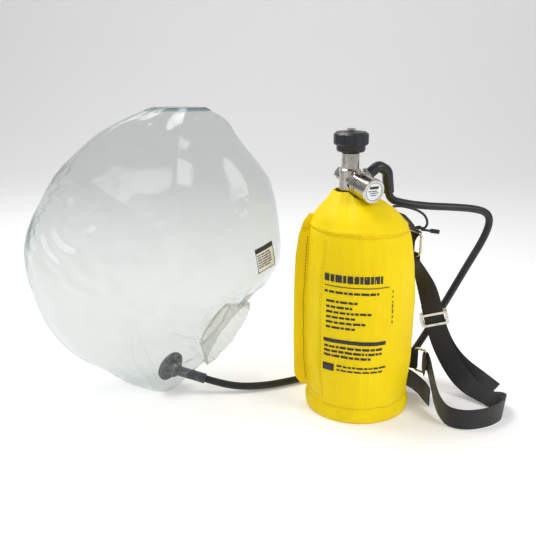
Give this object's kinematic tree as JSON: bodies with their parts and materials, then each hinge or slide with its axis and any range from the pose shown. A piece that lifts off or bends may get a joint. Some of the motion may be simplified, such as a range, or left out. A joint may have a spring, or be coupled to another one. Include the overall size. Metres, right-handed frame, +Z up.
{
  "type": "smoke hood",
  "caption": "Emergency-escape smoke hood: clear film hood on a supply hose from a small air cylinder in an upright fabric pouch with valve, regulator and carrying strap.",
  "frame": {"origin": "centre of the pouch's flat base, on the surface it stands on", "axes": "+Z up along the cylinder, -X towards the hood, -Y towards the front of the pouch"},
  "size_m": [0.5989, 0.2021, 0.3618],
  "materials": {
    "pouch_fabric": "coated yellow laminate, slight sheen",
    "clear_film": "clear flexible film, glossy",
    "webbing": "woven black webbing",
    "hose_rubber": "satin black rubber",
    "knob_plastic": "moulded black",
    "plated_metal": "nickel plated",
    "cylinder_metal": "brushed aluminium",
    "ring_wire": "plated wire",
    "label": "printed sticker",
    "tape": "hook and loop tape",
    "inlet_plastic": "dark grey moulded",
    "brass": "machined",
    "elastic": "soft elastic"
  },
  "bodies": {
    "main": {"pouch_wall": "pouch_fabric", "pouch_base": "pouch_fabric", "loop_tape": "tape", "air_cylinder": "cylinder_metal", "neck_seal": "hose_rubber", "valve_body": "plated_metal", "valve_bonnet": "plated_metal", "safety_plug": "plated_metal", "regulator_nut": "plated_metal", "regulator_barrel": "plated_metal", "regulator_spring": "ring_wire", "regulator_cap": "plated_metal", "regulator_face": "label", "outlet_fitting": "plated_metal", "hose_boot": "hose_rubber", "hose": "hose_rubber", "inlet_tube": "inlet_plastic", "inlet_plate": "inlet_plastic", "inlet_hub": "inlet_plastic", "hood": "clear_film", "neck_collar": "clear_film", "neck_elastic": "elastic", "hood_label": "label", "upper_ring": "ring_wire", "upper_tab": "webbing", "lower_ring": "ring_wire", "lower_tab": "webbing", "shoulder_strap": "webbing", "strap_tail": "webbing", "waist_strap": "webbing", "drawcord": "webbing", "drawcord_knot": "webbing", "drawcord_tip": "webbing"},
    "handwheel": {"handwheel": "knob_plastic", "handwheel_nut": "plated_metal", "spindle": "brass", "seat_disc": "knob_plastic"},
    "door": {"pouch_door": "pouch_fabric", "hook_tape": "tape"},
    "slide": {"strap_slide": "ring_wire"},
    "piston": {"regulator_piston": "brass"}
  },
  "joints": [
    {"name": "handwheel_turn", "type": "hinge", "parent": "main", "child": "handwheel", "pos_m": [-0.015, 0.008, 0.32], "axis": [0, 0, 1], "range_deg": [0, 540]},
    {"name": "door_swing", "type": "hinge", "parent": "main", "child": "door", "pos_m": [-0.05202, -0.04281, 0.12], "axis": [0, 0, 1], "range_deg": [0, 70]},
    {"name": "slide_travel", "type": "slide", "parent": "main", "child": "slide", "axis": [0.285, 0, -0.9585], "range_m": [-0.008, 0.008]},
    {"name": "piston_travel", "type": "slide", "parent": "main", "child": "piston", "axis": [0.464, -0.872, -0.156], "range_m": [0, 0.0012], "stiffness_N_per_m": 2000}
  ]
}
